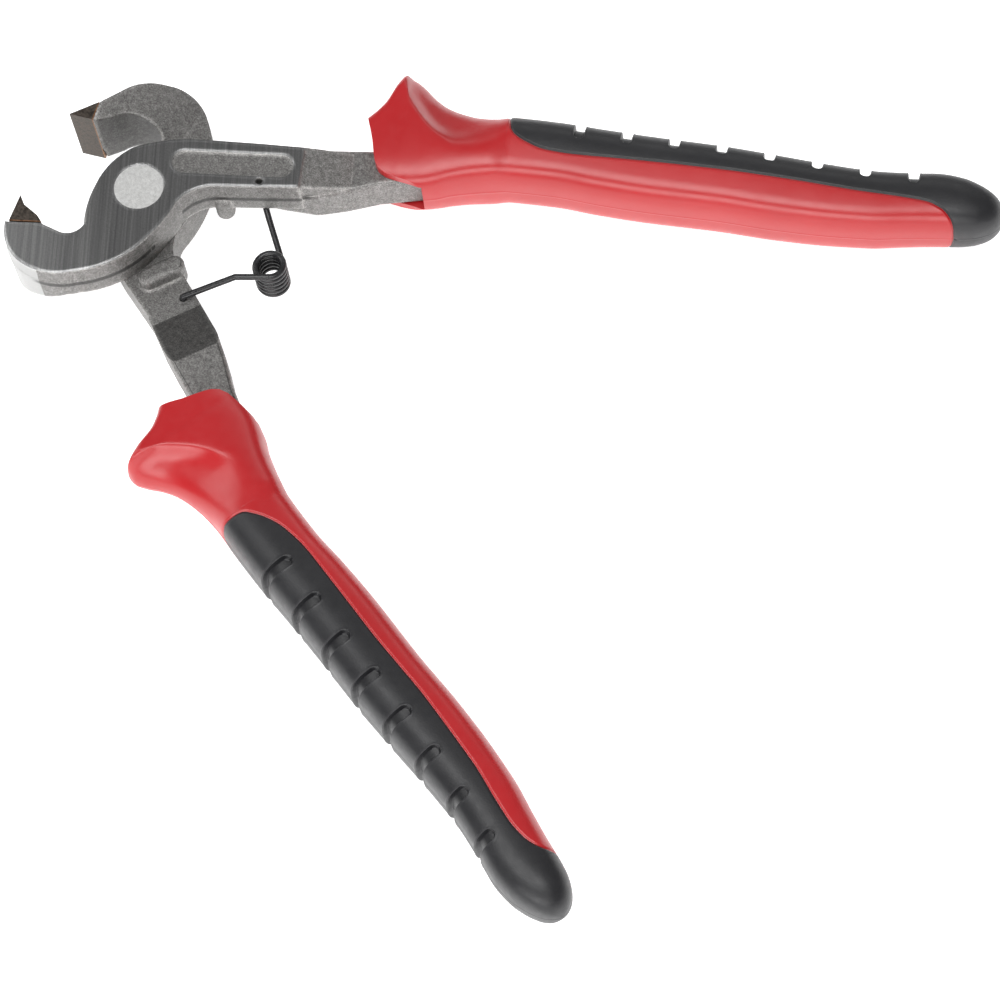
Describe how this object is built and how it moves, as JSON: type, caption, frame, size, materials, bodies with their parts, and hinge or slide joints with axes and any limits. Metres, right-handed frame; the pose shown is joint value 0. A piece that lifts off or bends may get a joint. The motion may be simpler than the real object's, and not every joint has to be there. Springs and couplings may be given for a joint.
{
  "type": "tile nippers",
  "caption": "Hand tile nippers: two forged levers on a rivet pivot, carbide cutting edges, wire return spring and two-colour moulded grips.",
  "frame": {"origin": "centre of the pivot rivet's rear end, flush with the rear ground face the tool lies on", "axes": "+Z along the pivot axis out of the front face; +X from the pivot towards the handles, half-way between the open levers; +Y towards the front lever's handle"},
  "size_m": [0.1821, 0.1808, 0.018],
  "materials": {
    "forged_steel": "ground faces over grey shot-blasted forging",
    "carbide": "ground tungsten carbide",
    "braze": "dull copper braze",
    "rivet_steel": "bright ground",
    "spring_wire": "black oiled",
    "red_plastic": "satin gloss",
    "black_rubber": "matte"
  },
  "bodies": {
    "front_lever": {"lever_front": "forged_steel", "carbide_front": "carbide", "braze_front": "braze", "pivot_rivet": "rivet_steel", "red_grip_front": "red_plastic", "black_grip_front": "black_rubber"},
    "rear_lever": {"lever_rear": "forged_steel", "carbide_rear": "carbide", "braze_rear": "braze", "red_grip_rear": "red_plastic", "black_grip_rear": "black_rubber"},
    "spring_coil": {"spring_coil": "spring_wire"},
    "spring_leg": {"spring_rear_leg": "spring_wire"}
  },
  "joints": [
    {"name": "jaw_pivot", "type": "hinge", "parent": "front_lever", "child": "rear_lever", "pos_m": [0, 0, 0.009], "axis": [0, 0, 1], "range_deg": [0, 51.5], "stiffness_Nm_per_rad": 0.6, "deforming": ["spring_coil", "spring_rear_leg"]},
    {"name": "spring_swing", "type": "hinge", "parent": "front_lever", "child": "spring_coil", "pos_m": [0.0212, 0.0139, 0.009], "axis": [0, 0, 1], "range_deg": [0, 64.8]},
    {"name": "spring_fold", "type": "hinge", "parent": "spring_coil", "child": "spring_leg", "pos_m": [0.032, 0.0003, 0.009], "axis": [0, 0, 1], "range_deg": [-75.8, 0]}
  ],
  "couplings": [
    {"joint": "spring_swing", "follows": "jaw_pivot", "ratio": 1.2572},
    {"joint": "spring_fold", "follows": "jaw_pivot", "ratio": -1.4711}
  ]
}
